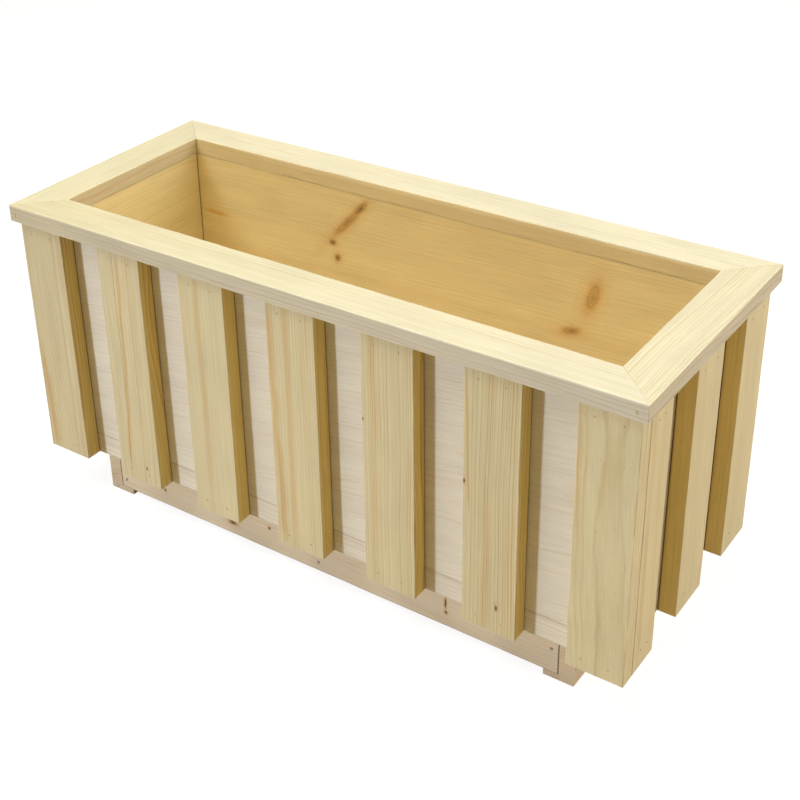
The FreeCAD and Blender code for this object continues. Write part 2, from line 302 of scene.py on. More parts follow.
def pine(name, look, knots, side_from, side_to, band, rubbing_and_highlight, seam_dust_and_shade):
    """Planed pine without a finish: rings of pale early wood and darker late wood with a sharp outer edge, streaks of
    fibres, short resin dashes, bands of resin and knots with the grain drawn round them.

    The pattern is a solid one, in the coordinates of the tree that the board was cut from, so faces, edges and end
    grain of a board agree. knots is how many knots a board can have. side_from and side_to are the depths under the
    show face between which the tint of the board's other faces comes in: painted shade on the sides of the slats and of
    the rim, painted warm light on the inner faces of the walls. The last three arguments are the strength of the resin
    bands, that of the paler edges, which are partly rubbed wood and partly a painted highlight, and how dark a joint is
    along the edges at the ends (X), along the sides (Y) and at the back (Z), partly from dust and partly from painted
    shade in the creases.
    """
    grain = bpy.context.scene.planter_grain
    material = bpy.data.materials.new(name)
    material.use_nodes = True
    tree = material.node_tree
    tree.nodes.clear()

    log = mark(tree, "log")
    gold, shade, ring_strength = split(tree, mark(tree, "tone"))
    near = mark(tree, "near_side")
    far = mark(tree, "far_side")

    # Distance from the pith, with the wander of a tree that isn't quite round or straight
    cross = calc_vector(tree, "MULTIPLY", log, (0, 1, 1))
    distance = calc_vector(tree, "LENGTH", cross, output="Value")
    wander = stretched_noise(tree, log, grain.wander_length, grain.wander_width, 1.0)
    wander = calc(tree, "SUBTRACT", wander, 0.5)
    distance = calc(tree, "MULTIPLY_ADD", wander, grain.wander, distance)
    ripple = stretched_noise(tree, log, grain.wander_length / 5, grain.wander_width / 4, 1.0)
    ripple = calc(tree, "SUBTRACT", ripple, 0.5)
    distance = calc(tree, "MULTIPLY_ADD", ripple, grain.wander / 6, distance)

    # Knots push the rings aside
    knot_dark = None
    knot_halo = None
    on_board = add(tree, "TexCoord", output="Object")
    rough_edge = add(tree, "TexNoise", {"Vector": on_board, "Scale": 90.0, "Detail": 2.0}, output="Color")
    rough_edge = calc_vector(tree, "SUBTRACT", rough_edge, (0.5, 0.5, 0.5))
    patchy = add(tree, "TexNoise", {"Vector": on_board, "Scale": 1 / (3 * MM), "Detail": 3.0})
    patchy = remap(tree, patchy, (0.35, 0.6), (0.55, 1.0))
    for number in range(knots):
        place = mark(tree, f"knot_{number + 1}")
        size = split(tree, place)["Z"]
        place = calc_vector(tree, "MULTIPLY_ADD", rough_edge, (KNOT_ROUGHNESS, KNOT_ROUGHNESS, 0), place)
        place = calc_vector(tree, "MULTIPLY", place, (1, 1, 0))
        reach = calc_vector(tree, "LENGTH", place, output="Value")
        push = remap(tree, reach, KNOT_PUSH_REACH, (1.0, 0.0), interpolation_type="SMOOTHERSTEP")
        push = calc(tree, "MULTIPLY", push, size)
        distance = calc(tree, "MULTIPLY_ADD", push, KNOT_PUSH, distance)
        share = calc(tree, "DIVIDE", reach, KNOT_REACH)
        dark = add(tree, "ValToRGB", {0: share}, stops=KNOT_HEART)
        strength = remap(tree, size, KNOT_SIZES, KNOT_DARKNESS)
        strength = calc(tree, "MULTIPLY", strength, patchy)
        dark = calc(tree, "MULTIPLY", dark, strength, clamp=True)
        halo = add(tree, "ValToRGB", {0: share}, stops=KNOT_HALO)
        knot_dark = dark if knot_dark is None else calc(tree, "MAXIMUM", knot_dark, dark)
        knot_halo = halo if knot_halo is None else calc(tree, "MAXIMUM", knot_halo, halo)

    # Rings of uneven width and strength
    rings = calc(tree, "DIVIDE", distance, grain.ring_width)
    rings = calc(tree, "MULTIPLY_ADD", yearly_noise(tree, rings, 0.4), RING_UNEVENNESS, rings)
    late = add(tree, "ValToRGB", {0: calc(tree, "FRACT", rings)}, stops=YEAR)
    vigour = add(tree, "TexWhiteNoise", {"W": calc(tree, "FLOOR", rings)}, noise_dimensions="1D")
    vigour = remap(tree, vigour, to=(0.45, 1.0))
    fade = stretched_noise(tree, log, 0.15, 0.012, 1.0)
    fade = remap(tree, fade, (0.3, 0.7), (0.45, 1.0))
    lines = calc(tree, "MULTIPLY", late, vigour)
    lines = calc(tree, "MULTIPLY", lines, fade)
    lines = calc(tree, "MULTIPLY", lines, ring_strength, clamp=True)

    # Bands where a few years' wood holds more resin, in patches, and the one band that a board has of its own
    resin = remap(tree, yearly_noise(tree, rings, 0.13), (0.5, 0.72), (0.0, band))
    patch = stretched_noise(tree, log, 0.22, 0.03, 2.0)
    resin = calc(tree, "MULTIPLY", resin, remap(tree, patch, (0.35, 0.65)))
    from_middle, shown, band_strength = split(tree, mark(tree, "band"))
    own = calc(tree, "MULTIPLY_ADD", wander, 2.5, from_middle)
    own = calc(tree, "MULTIPLY_ADD", ripple, 1.2, own)
    own = calc(tree, "ABSOLUTE", own)
    own = remap(tree, own, (0.0, 1.1), (1.0, 0.0), interpolation_type="SMOOTHSTEP")
    own = calc(tree, "MULTIPLY", own, shown)
    own = calc(tree, "MULTIPLY", own, band_strength)
    resin = calc(tree, "ADD", resin, own, clamp=True)

    # The other faces get the side tint: painted shade on the sides of the slats and of the rim, painted warm light on
    # the inner faces of the walls. gold adds to it, and -1 takes it off sides in the open.
    side = remap(tree, split(tree, near)["Z"], (side_from, side_to))
    side = calc(tree, "ADD", side, gold, clamp=True)
    wood = mix(tree, side, (*look.pale, 1), look.side)
    # The golden tint is painted warm light, on the rim's inner sides and the floor boards.
    wood = mix(tree, gold, wood, grain.golden)
    amber = split(tree, mark(tree, "amber"))["X"]
    for share, tint in ((lines, look.line), (resin, grain.resin), (amber, grain.amber)):
        wood = mix(tree, share, wood, tint, "MULTIPLY")
    if knots:
        wood = mix(tree, knot_halo, wood, grain.halo, "MULTIPLY")
        wood = mix(tree, knot_dark, wood, grain.knot)

    # Edges are paler: partly rubbed wood, partly a painted highlight
    to_side = split(tree, calc_vector(tree, "MINIMUM", near, far))
    low = calc(tree, "MINIMUM", to_side["X"], to_side["Y"])
    high = calc(tree, "MAXIMUM", to_side["X"], to_side["Y"])
    high = calc(tree, "MINIMUM", high, to_side["Z"])
    rubbed_and_highlit = remap(tree, calc(tree, "MAXIMUM", low, high), (0.0, RUBBED_AND_HIGHLIT_DEPTH), (rubbing_and_highlight, 0.0))
    edge_patches = stretched_noise(tree, log, 0.05, 0.02, 2.0)
    rubbed_and_highlit = calc(tree, "MULTIPLY", rubbed_and_highlit, remap(tree, edge_patches, (0.4, 0.6)))
    wood = mix(tree, rubbed_and_highlit, wood, RUBBED_AND_HIGHLIT_WOOD)

    # Joints are darker: partly brown dust, partly painted shade in the creases and corners
    behind = split(tree, far)["Z"]
    for seam, strength in seam_dust_and_shade.items():
        dust = remap(tree, behind if seam == "Z" else to_side[seam], SEAM_DUST_AND_SHADE_DEPTHS, (strength, 0.0))
        wood = mix(tree, dust, wood, grain.dust, "MULTIPLY")

    # Fibres, dashes, blotches and sawn ends change how light the wood is
    fibre = stretched_noise(tree, log, grain.fibre_length, grain.fibre_width, 3.0)
    light = remap(tree, fibre, (0.3, 0.7), (0.93, 1.05))
    dashes = stretched_noise(tree, log, grain.dash_length, grain.dash_width, 1.0)
    dashes = remap(tree, dashes, (0.68, 0.78), (1.0, 0.8))
    blotch = stretched_noise(tree, log, 0.12, 0.035, 2.0)
    blotch = remap(tree, blotch, (0.3, 0.7), (0.95, 1.05))
    sawn = remap(tree, to_side["X"], SAWN_DEPTHS, (0.9, 1.0))
    for change in (dashes, blotch, sawn, shade):
        light = calc(tree, "MULTIPLY", light, change)
    wood = add(tree, "HueSaturation", {"Value": light, "Color": wood})

    # Late wood is smoother and stands proud, dashes are open
    rough = remap(tree, fibre, to=(0.72, 0.52))
    height = calc(tree, "MULTIPLY_ADD", lines, RING_RELIEF, fibre)
    height = calc(tree, "ADD", height, dashes)
    bump = add(tree, "Bump", {"Height": height, "Strength": 0.5, "Distance": grain.relief})
    shader = add(tree, "BsdfPrincipled", {"Base Color": wood, "Roughness": rough, "Normal": bump, "IOR": 1.46})
    add(tree, "OutputMaterial", {"Surface": shader}, output=None)
    return material


# ---------------------------------------------------------------- nails


Nail = namedtuple("Nail", "top into head_radius head_height shank_radius length")


def islands(bm):
    """Groups of vertices that hang together."""
    left = set(bm.verts)
    groups = []
    while left:
        group = {left.pop()}
        front = list(group)
        while front:
            for edge in front.pop().link_edges:
                for vert in edge.verts:
                    if vert in left:
                        left.remove(vert)
                        group.add(vert)
                        front.append(vert)
        groups.append(group)
    return groups


def nails_of(node):
    """Each nail of a group: the middle of its head's top, the way it was driven, and its sizes, all read from it."""
    bm = bmesh.new()
    bm.from_mesh(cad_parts[node].data)
    bmesh.ops.remove_doubles(bm, verts=bm.verts, dist=1e-6)
    found = []
    for group in islands(bm):
        points = [vert.co.copy() for vert in group]
        low = Vector([min(p[i] for p in points) for i in range(3)])
        high = Vector([max(p[i] for p in points) for i in range(3)])
        size = high - low
        axis = max(range(3), key=lambda i: size[i])
        centre = (low + high) / 2
        ends = []
        for level in (low[axis], high[axis]):
            ring = [p - centre for p in points if abs(p[axis] - level) < 0.01 * MM]
            ends.append(max(math.hypot(*[p[i] for i in range(3) if i != axis]) for p in ring))
        head_low = ends[0] > ends[1]
        top = centre.copy()
        top[axis] = low[axis] if head_low else high[axis]
        into = Vector([0, 0, 0])
        into[axis] = 1 if head_low else -1
        across = [i for i in range(3) if i != axis]
        heads = [p for p in points if math.hypot(*[(p - centre)[i] for i in across]) > 0.99 * max(ends)]
        head_height = max(abs(p[axis] - top[axis]) for p in heads)
        found.append(Nail(top, into, max(ends), head_height, min(ends), size[axis]))
    bm.free()
    return found


def drill(bm, nail):
    """Adds the shape of a nail's hole: a narrow part for its shank and a wide part for its head, open to the air."""
    tip = nail.length - nail.head_height + NAIL_CLEARANCE
    above = 2 * MM  # how far the shape stands out of the wood, so that the hole is open
    shank = nail.shank_radius + NAIL_CLEARANCE
    head = nail.head_radius + NAIL_CLEARANCE
    made = bmesh.ops.create_circle(bm, cap_ends=True, segments=20, radius=shank)
    verts = made["verts"]
    base = [face for face in bm.faces if verts[0] in face.verts]
    steps = ((tip, shank), (0.0, head), (nail.head_height + above, head))
    every = list(verts)
    now = shank
    for rise, radius in steps:
        moved = bmesh.ops.extrude_face_region(bm, geom=base)
        verts = [item for item in moved["geom"] if isinstance(item, bmesh.types.BMVert)]
        if len(every) > len(verts):
            bmesh.ops.delete(bm, geom=base, context="FACES_ONLY")
        base = [item for item in moved["geom"] if isinstance(item, bmesh.types.BMFace)]
        bmesh.ops.scale(bm, vec=(radius / now, radius / now, 1), verts=verts)
        bmesh.ops.translate(bm, vec=(0, 0, rise), verts=verts)
        now = radius
        every += verts
    turn = (-nail.into).to_track_quat("Z", "Y").to_matrix().to_4x4()
    foot = nail.top + nail.into * (nail.length + NAIL_CLEARANCE)
    bmesh.ops.transform(bm, matrix=Matrix.Translation(foot) @ turn, verts=every)


BARE_STEEL, RUST = "#8C857A", "#6A4A30"
DUST_DARK, DUST_LIGHT = "#B8A57E", "#C9B892"
FRECKLE_SIZE = 0.8 * MM
GRIME_SIZE = 1.7 * MM


def steel(name, dust):
    """Mild steel wire as it was drawn: dull grey, with brown freckles where it has begun to rust, and pale wood dust
    rubbed into it. dust is how much of it there is: nearly none at 0, and nearly all covered above 1."""
    material = bpy.data.materials.new(name)
    material.use_nodes = True
    tree = material.node_tree
    tree.nodes.clear()
    place = add(tree, "TexCoord", output="Object")
    freckle = add(tree, "TexNoise", {"Vector": place, "Scale": 1 / FRECKLE_SIZE, "Detail": 3.0})
    metal = mix(tree, remap(tree, freckle, (0.45, 0.65)), (*linear(BARE_STEEL), 1), linear(RUST))
    rough = remap(tree, freckle, to=(0.35, 0.8))
    bump = add(tree, "Bump", {"Height": freckle, "Strength": 0.3, "Distance": 0.05 * MM})
    bare = add(tree, "BsdfPrincipled", {"Base Color": metal, "Metallic": 1.0, "Roughness": rough, "Normal": bump})
    grime = add(tree, "TexNoise", {"Vector": place, "Scale": 1 / GRIME_SIZE, "Detail": 2.0})
    powder = mix(tree, grime, (*linear(DUST_DARK), 1), linear(DUST_LIGHT))
    covered = add(tree, "BsdfPrincipled", {"Base Color": powder, "Roughness": 0.9, "Normal": bump})
    cover = remap(tree, grime, (0.75 - dust * 0.5, 0.85 - dust * 0.5))
    shader = add(tree, "MixShader", {0: cover, 1: bare, 2: covered})
    add(tree, "OutputMaterial", {"Surface": shader}, output=None)
    return material


# ---------------------------------------------------------------- boards


def board_axes(along, face):
    """Index of the axis along the grain, across the show face and through it, and the show face's direction."""
    a = AXES[along]
    d = AXES[face[1]]
    c = 3 - a - d
    return a, c, d, -1 if face[0] == "-" else 1


def sawn_board(node, mitres):
    """A square-edged board that fills its node's box, with its ends cut to any mitre planes."""
    low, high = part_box(node)
    bm = bmesh.new()
    bmesh.ops.create_cube(bm, size=1.0)
    bmesh.ops.scale(bm, vec=high - low, verts=bm.verts)
    bmesh.ops.translate(bm, vec=(low + high) / 2, verts=bm.verts)
    for point, outward in mitres:
        geom = list(bm.verts) + list(bm.edges) + list(bm.faces)
        cut = bmesh.ops.bisect_plane(bm, geom=geom, dist=1e-7, plane_co=point, plane_no=outward, clear_outer=True)
        rim = [item for item in cut["geom_cut"] if isinstance(item, bmesh.types.BMEdge)]
        bmesh.ops.contextual_create(bm, geom=rim)
    bmesh.ops.recalc_face_normals(bm, faces=bm.faces)
    return bm


def parallel_edges(bm, axis):
    """Edges that run along an axis."""
    found = []
    for edge in bm.edges:
        run = edge.verts[1].co - edge.verts[0].co
        if abs(run[axis]) > 0.99 * run.length:
            found.append(edge)
    return found


SANDED_END = 0.3  # how much a sawn end is eased, as a share of the long edges' radius
SANDING_STEP = 18 * MM  # between the points where an edge's radius can change
SANDING_WAVE = 35 * MM  # length over which it changes
LEAST_SANDED = 0.45  # smallest radius, as a share of the usual one


def bevel(bm, edges, offset, segments):
    """Takes edges off: flat with one segment, round with more."""
    bmesh.ops.bevel(
        bm, geom=edges, offset=offset, offset_type="OFFSET", affect="EDGES", segments=segments, profile=0.5, material=-1
    )


def sand_edges(bm, node, axis, ease, rng):
    """Takes the sharpness off the sawn ends and rounds the long edges, more in some places than in others, as sanding
    by hand does. Faces stay flat."""
    low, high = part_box(node)
    long_edges = set(parallel_edges(bm, axis))
    bevel(bm, [edge for edge in bm.edges if edge not in long_edges], SANDED_END * ease, 1)
    bevel(bm, parallel_edges(bm, axis), ease, 3)
    cuts = max(4, round((high[axis] - low[axis]) / SANDING_STEP))
    bmesh.ops.subdivide_edges(bm, edges=parallel_edges(bm, axis), cuts=cuts, use_grid_fill=True)
    across = [i for i in range(3) if i != axis]
    shift = rng.uniform(0, 100)
    for vert in bm.verts:
        corner = [high[i] if vert.co[i] > (low[i] + high[i]) / 2 else low[i] for i in across]
        offset = [vert.co[i] - c for i, c in zip(across, corner)]
        if max(abs(o) for o in offset) > 1.01 * ease:
            continue
        which = sum((c > 0) * (k + 1) for k, c in enumerate(corner))
        place = Vector((vert.co[axis] / SANDING_WAVE, shift + 7 * which, 0.0))
        amount = 1.0 + 0.9 * noise.noise(place) + 0.35 * noise.noise(place * 4.3)
        for i, c, o in zip(across, corner, offset):
            vert.co[i] = c + o * max(LEAST_SANDED, amount)


def mesh_object(name, bm):
    """A new object that holds a bmesh's shape."""
    mesh = bpy.data.meshes.new(name)
    bm.to_mesh(mesh)
    bm.free()
    made = bpy.data.objects.new(name, mesh)
    bpy.context.scene.collection.objects.link(made)
    return made


def cut_holes(board, node):
    """Cuts the nails' holes out of a board."""
    low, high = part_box(node)
    bm = bmesh.new()
    for nail in ALL_NAILS:
        ends = (nail.top, nail.top + nail.into * nail.length)
        reach = nail.head_radius
        if all(
            max(e[i] for e in ends) + reach > low[i] and min(e[i] for e in ends) - reach < high[i] for i in range(3)
        ):
            drill(bm, nail)
    if not bm.verts:
        bm.free()
        return
    cutter = mesh_object("hole_cutter", bm)
    change = board.modifiers.new("nail holes", "BOOLEAN")
    change.operation = "DIFFERENCE"
    change.solver = "EXACT"
    change.object = cutter
    graph = bpy.context.evaluated_depsgraph_get()
    holed = bpy.data.meshes.new_from_object(board.evaluated_get(graph), depsgraph=graph)
    board.modifiers.clear()
    plain = board.data
    board.data = holed
    bpy.data.meshes.remove(plain)
    used = cutter.data
    bpy.data.objects.remove(cutter)
    bpy.data.meshes.remove(used)


def mark_wood(board, node, axes, wood, knots, rng, odd_side):
    """Writes where each point of a board was in its tree, how far it is from the board's sides and from each knot.
    odd_side is the place across the board of a side whose gold differs from the rest of the wood, and its gold."""
    a, c, d, side = axes
    low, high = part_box(node)
    grain = bpy.context.scene.planter_grain
    front = high[d] if side > 0 else low[d]
    scale = grain.ring_width / (wood.ring * MM)
    start = rng.uniform(0, 30)
    band = wood.band or NO_BAND
    fade = 20 * MM  # over which a band comes in at its ends
    names = ["log", "tone", "amber", "band", "near_side", "far_side"] + [f"knot_{i + 1}" for i in range(knots)]
    values = {name: [] for name in names}
    places = (wood.knots + (FAR_AWAY,) * knots)[:knots]
    for vert in board.data.vertices:
        u = vert.co[a]
        v = vert.co[c]
        w = (front - vert.co[d]) * side
        middle_u = (low[a] + high[a]) / 2
        middle_v = (low[c] + high[c]) / 2
        across = v - middle_v - wood.pith[0] * MM - wood.lean * (u - middle_u)
        behind = wood.pith[1] * MM - w
        values["log"] += (u + start, across * scale, behind * scale)
        share = (u - low[a]) / (high[a] - low[a])
        odd = odd_side and abs(vert.co[c] - odd_side[0]) < 0.2 * MM
        values["tone"] += (odd_side[1] if odd else wood.gold, wood.shade, wood.lines)
        values["amber"] += (wood.amber[0] * (1 - share) + wood.amber[1] * share, 0.0, 0.0)
        middle = (band.low + (band.high - band.low) * share) * MM
        shown = min(u - band.start * MM, band.end * MM - u) / fade
        off_band = (v - middle_v - middle) / (band.width * MM / 2)
        values["band"] += (off_band, min(max(shown, 0), 1), band.strength)
        values["near_side"] += (u - low[a], v - low[c], w)
        values["far_side"] += (high[a] - u, high[c] - v, high[d] - low[d] - w)
        for number, knot in enumerate(places):
            du = u - knot.along * MM
            dv = v - knot.across * MM
            cos, sin = math.cos(math.radians(knot.turn)), math.sin(math.radians(knot.turn))
            radius = knot.radius * MM
            values[f"knot_{number + 1}"] += (
                (du * cos + dv * sin) / (radius * knot.stretch),
                (dv * cos - du * sin) / radius,
                radius,
            )
    for name in names:
        data = board.data.attributes.new(name, "FLOAT_VECTOR", "POINT").data
        data.foreach_set("vector", values[name])


# What a group of boards has in common: its material, its material slot, the radius of its long edges and how many
# knots its material can show.
Finish = namedtuple("Finish", "material slot ease knots")


def make_board(node, along, face, wood, finish, mitres=(), odd_side=None):
    """One board of the planter, in place of its node."""
    material, slot, ease, knots = finish
    rng = random.Random(node)
    axes = board_axes(along, face)
    bm = sawn_board(node, mitres)
    sand_edges(bm, node, axes[0], ease, rng)
    bmesh.ops.recalc_face_normals(bm, faces=bm.faces)
    board = mesh_object(node + "_pine", bm)
    cut_holes(board, node)
    board.data.materials.clear()
    board.data.materials.append(material)
    mark_wood(board, node, axes, wood, knots, rng, odd_side)
    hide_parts(node)
    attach(board, BODY)


def plain_wood(node, lines, gold=0.0, shade=1.0, knots=()):
    """Wood for a board with no marks of its own: sawn from somewhere in the tree, the same place each time."""
    rng = random.Random("tree of " + node)
    pith = (rng.choice((-1, 1)) * rng.uniform(40, 170), rng.uniform(25, 90))
    return Wood(
        pith=pith,
        lean=rng.uniform(-0.02, 0.02),
        ring=rng.uniform(2.6, 3.6),
        lines=lines * rng.uniform(0.8, 1.2),
        gold=gold,
        shade=shade * rng.uniform(0.97, 1.03),
        knots=knots,
    )


def numbered(group):
    """The nodes of a numbered group, in order."""
    nodes = [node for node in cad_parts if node.startswith(group) and node[-1].isdigit()]
    return sorted(nodes, key=lambda node: int(node.rsplit("_", 1)[1]))


NAIL_NODES = [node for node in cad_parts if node.endswith(("_nails", "_pins"))]
ALL_NAILS = [nail for node in NAIL_NODES for nail in nails_of(node)]


class PLANTER_OT_rim(Operator):
    """Makes the four mitred battens round the top"""

    bl_idname = "planter.rim"
    bl_label = "Rim"

    def execute(self, context):
        look = context.scene.planter_rim
        # The rim's sides get painted shade, darker than its top.
        material = pine("Planed pine, rim", look, 1, 0.5 * MM, 2.5 * MM, 0.2, 0.15, {})
        finish = Finish(material, "rim_pine", look.ease, 1)
        low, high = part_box("rim_front")
        width = high.y - low.y
        left, front = low.x, low.y
        right, back = high.x, -front
        corners = {
            ("left", "front"): Vector((left, front, 0)),
            ("right", "front"): Vector((right, front, 0)),
            ("left", "back"): Vector((left, back, 0)),
            ("right", "back"): Vector((right, back, 0)),
        }
        woods = {
            "front": Wood(pith=(-70, 40), ring=3.6, lines=0.7, amber=(1.0, 0.0)),
            "back": Wood(pith=(80, 60), ring=4.2, lines=0.4, amber=(0.5, 0.15)),
            "left": Wood(pith=(-60, 50), ring=3.8, lines=0.6, amber=(0.7, 0.7)),
            "right": Wood(pith=(70, 35), lean=0.03, ring=3.6, lines=0.9, amber=(0.4, 0.4)),
        }
        for place, wood in woods.items():
            long = place in ("front", "back")
            ends = ("left", "right") if long else ("front", "back")
            mitres = []
            mitre_ends = [(end, place) if long else (place, end) for end in ends]
            for end in mitre_ends:
                point = corners[end]
                x = math.copysign(1, point.x) * (1 if long else -1)
                y = math.copysign(1, point.y) * (-1 if long else 1)
                mitres.append((point, Vector((x, y, 0))))
            outer = corners[mitre_ends[0]][1 if long else 0]
            # The inner side gets the golden tint, painted warm light: all of it on the long boards, half on the short
            # ones.
            inner = (outer - math.copysign(width, outer), 1.0 if long else 0.5)
            make_board(f"rim_{place}", "X" if long else "Y", "+Z", wood, finish, mitres, inner)
        return {"FINISHED"}


class PLANTER_OT_slats(Operator):
    """Makes the upright slats round the outside"""

    bl_idname = "planter.slats"
    bl_label = "Slats"

    def execute(self, context):
        look = context.scene.planter_slats
        # The slats' sides get painted shade. The dark seam along their back is partly dust and partly painted shade in
        # the crease against the wall.
        material = pine("Planed pine, slats", look, 2, 0.5 * MM, 1.6 * MM, 0.4, 0.15, {"Z": 0.95})
        finish = Finish(material, "slat_pine", look.ease, 2)
        front = (
            Wood(pith=(90, 48), ring=2.4, lines=1.5, shade=0.94, band=Band(-21, -27, 12, 57, 200, 0.6)),
            Wood(
                pith=(-70, 34), lean=0.012, ring=2.8, lines=1.1, shade=0.99, knots=(Knot(80, -229, 0.9, 1.6),),
                band=Band(-13, -1, 7, 70, 367, 0.65),
            ),
            Wood(pith=(-150, 60), ring=2.7, lines=0.5),
            Wood(pith=(140, 40), ring=2.6, lines=0.8, shade=1.02, band=Band(-23, -27, 16, 57, 367, 0.6)),
            Wood(pith=(-160, 50), ring=2.6, lines=1.2, knots=(Knot(262, 89.8, 0.8, 2.0),)),
            Wood(
                pith=(150, 55), ring=2.8, lines=1.3, shade=0.98, band=Band(-20, -29, 4, 190, 367, 0.7),
                knots=(Knot(90, 250, 1.1, 2.4), Knot(232, 210.8, 0.9, 2.4)),
            ),
            Wood(pith=(10, 42), lean=-0.06, ring=5.5, lines=0.6),
        )
        groups = (
            ("front_slat_", "-Y", 0.0, front),
            ("back_slat_", "+Y", 0.9, ()),
            ("left_slat_", "-X", 0.8, ()),
            ("right_slat_", "+X", 0.4, ()),
        )
        for group, face, lines, woods in groups:
            nodes = numbered(group)
            for node, wood in zip(nodes, woods or [plain_wood(node, lines) for node in nodes]):
                make_board(node, "Z", face, wood, finish, odd_side=self.open_side(node, face))
        return {"FINISHED"}

    @staticmethod
    def open_side(node, face):
        """A side of a corner slat that is in the open, and so without the painted shade of the other sides: as pale as
        the show faces.
        """
        low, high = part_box(node)
        far_low, far_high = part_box("front_slat_1")[0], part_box(numbered("front_slat_")[-1])[1]
        if face == "-Y":
            ends = ((low.x, far_low.x), (high.x, far_high.x))
        elif face[1] == "X":
            ends = ((high.y, -far_low.y),)
        else:
            ends = ()
        for place, outer in ends:
            if abs(place - outer) < MM:
                return place, -1.0
        return None


class PLANTER_OT_walls(Operator):
    """Makes the wall boards and the strips under them"""

    bl_idname = "planter.walls"
    bl_label = "Walls"

    def execute(self, context):
        look = context.scene.planter_walls
        # The inner faces get painted warm light. The joints at the ends and along the long edges are darkened, partly
        # dust and partly painted shade.
        material = pine("Planed pine, walls", look, 6, 8 * MM, 14 * MM, 0.12, 0.1, {"X": 0.95, "Y": 0.22})
        finish = Finish(material, "wall_pine", look.ease, 6)
        # The front board's knots are behind the slats. Only the grain that runs round them shows
        front_knots = (
            Knot(-264.0, 262.0, 4.5),
            Knot(-146.0, 230.0, 4.5),
            Knot(-26.0, 256.0, 5.0),
            Knot(215.0, 247.0, 5.5),
            Knot(335.0, 247.0, 5.5),
        )
        back_knots = (
            Knot(-139.6, 294.4, 3.0, 1.3, 10),
            Knot(-132.8, 275.0, 3.2, 1.3, 60),
            Knot(-97.0, 349.0, 3.5, 3.2, 47),
            Knot(-116.0, 327.0, 3.8, 6.5, 47),
            Knot(212.0, 317.0, 5.5, 2.6, 72),
            Knot(187.4, 268.0, 3.7, 2.4, 15),
        )
        woods = {
            "front_wall_board": Wood(pith=(-60, 110), lean=0.14, ring=3.4, lines=0.45, knots=front_knots),
            "back_wall_board": Wood(
                pith=(-150, 60), lean=0.03, ring=3.2, lines=0.5, knots=back_knots,
                band=Band(67, 64, 9, -352, -300, 0.9), amber=(0.6, 0.0),
            ),
            "left_wall_board": Wood(pith=(150, 70), ring=3.2, lines=0.5, shade=0.95, amber=(0.9, 0.9)),
        }
        for side, face in (("front", "-Y"), ("back", "+Y"), ("left", "-X"), ("right", "+X")):
            along = "X" if side in ("front", "back") else "Y"
            for piece in ("board", "strip"):
                node = f"{side}_wall_{piece}"
                wood = woods.get(node) or plain_wood(node, 0.6)
                make_board(node, along, face, wood, finish)
        return {"FINISHED"}


class PLANTER_OT_base(Operator):
    """Makes the plinth, its bearers, the foot cleats and the floor boards"""

    bl_idname = "planter.base"
    bl_label = "Plinth, feet and floor"

    def execute(self, context):
        look = context.scene.planter_base
        sides = (0.5 * MM, 2 * MM)
        material = pine("Rough planed pine, base", look, 5, *sides, 0.3, 0.1, {})
        # The plinth front is darker at its ends and along its long edges: partly dust, partly painted shade at the
        # joints.
        dusty_and_shaded = pine("Rough planed pine, plinth front", look, 5, *sides, 0.3, 0.1, {"X": 0.95, "Y": 0.3})
        plinth_knots = (
            Knot(-70.6, 38.3, 1.5, 1.0),
            Knot(171.2, 26.0, 1.5, 1.2, 90),
            Knot(170.6, 38.5, 1.1, 5.0, 90),
            Knot(-233.8, 29.1, 1.5, 1.0),
            Knot(-126.5, 23.4, 2.6, 2.0),
        )
        wood = Wood(pith=(-90, 40), ring=3.4, lines=0.45, knots=plinth_knots)
        make_board("plinth_front", "X", "-Y", wood, Finish(dusty_and_shaded, "base_pine", look.ease, 5))
        finish = Finish(material, "base_pine", look.ease, 5)
        for node, along, face in (
            ("plinth_back", "X", "+Y"),
            ("plinth_left", "Y", "-X"),
            ("plinth_right", "Y", "+X"),
            ("bearer_left", "Y", "-X"),
            ("bearer_middle", "Y", "+X"),
            ("bearer_right", "Y", "+X"),
            ("foot_left", "Y", "-Z"),
            ("foot_right", "Y", "-Z"),
        ):
            make_board(node, along, face, plain_wood(node, 0.9), finish)
        # The floor boards get the same golden tint as the inner faces of the walls: painted warm light
        look = context.scene.planter_walls
        golden = pine("Planed pine, floor", look, 0, 8 * MM, 14 * MM, 0.2, 0.1, {})
        finish = Finish(golden, "base_pine", look.ease, 0)
        for node in numbered("floor_board_"):
            make_board(node, "X", "+Z", plain_wood(node, 0.6, gold=1.0), finish)
        return {"FINISHED"}


class PLANTER_OT_nails(Operator):
    """Finishes the nails and pins that hold the boards"""

    bl_idname = "planter.nails"
    bl_label = "Nails"

    def execute(self, context):
        nails = steel("Drawn steel nails", 0.15)
        pins = steel("Steel pins under sanding dust", 1.3)
        for node in NAIL_NODES:
            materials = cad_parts[node].data.materials
            materials.clear()
            materials.append(pins if node.endswith("_pins") or node == "rim_nails" else nails)
        return {"FINISHED"}


class PLANTER_OT_stage(Operator):
    """Sets up the floor, the lights, the sky and the camera"""

    bl_idname = "planter.stage"
    bl_label = "Studio"

    def execute(self, context):
        look = context.scene.planter_stage
        make_floor(look)
        make_sky(look)
        make_lights(look)
        make_camera(look)
        context.scene.view_settings.view_transform = "Standard"
        return {"FINISHED"}


def seen_directly(tree):
    """1 for rays that show the background itself: from the camera, in a gloss or through glass."""
    path = add(tree, "LightPath", output=None).outputs
    seen = calc(tree, "MAXIMUM", path["Is Camera Ray"], path["Is Glossy Ray"])
    return calc(tree, "MAXIMUM", seen, path["Is Transmission Ray"])


